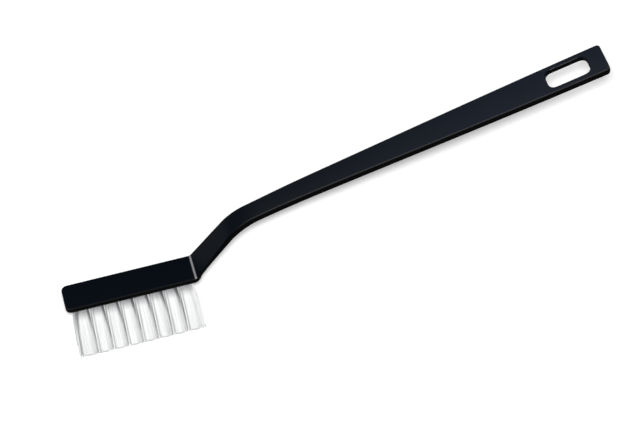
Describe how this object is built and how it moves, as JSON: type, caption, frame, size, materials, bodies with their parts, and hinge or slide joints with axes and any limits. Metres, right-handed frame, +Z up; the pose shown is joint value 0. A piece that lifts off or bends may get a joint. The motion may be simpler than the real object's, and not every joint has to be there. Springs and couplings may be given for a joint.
{
  "type": "pad cleaning brush",
  "caption": "Hand brush for cleaning polishing pads: flat head with stiff nylon tufts, cranked neck and a flat tapered handle with a hanging slot.",
  "frame": {"origin": "middle of the overall length and width, on the plane of the bristle tips", "axes": "+X from the head to the handle end, +Y across the width, +Z up from the bristle tips to the back of the head"},
  "size_m": [0.2124, 0.0138, 0.0859],
  "materials": {
    "handle": "satin moulded",
    "bristle": "translucent white nylon",
    "anchor": "drawn flat wire"
  },
  "bodies": {
    "root": {"handle_body": "handle", "tuft_row_near": "bristle", "tuft_row_far": "bristle", "anchor_near_1": "anchor", "anchor_near_2": "anchor", "anchor_near_3": "anchor", "anchor_near_4": "anchor", "anchor_near_5": "anchor", "anchor_near_6": "anchor", "anchor_near_7": "anchor", "anchor_near_8": "anchor", "anchor_far_1": "anchor", "anchor_far_2": "anchor", "anchor_far_3": "anchor", "anchor_far_4": "anchor", "anchor_far_5": "anchor", "anchor_far_6": "anchor", "anchor_far_7": "anchor", "anchor_far_8": "anchor"}
  },
  "joints": []
}
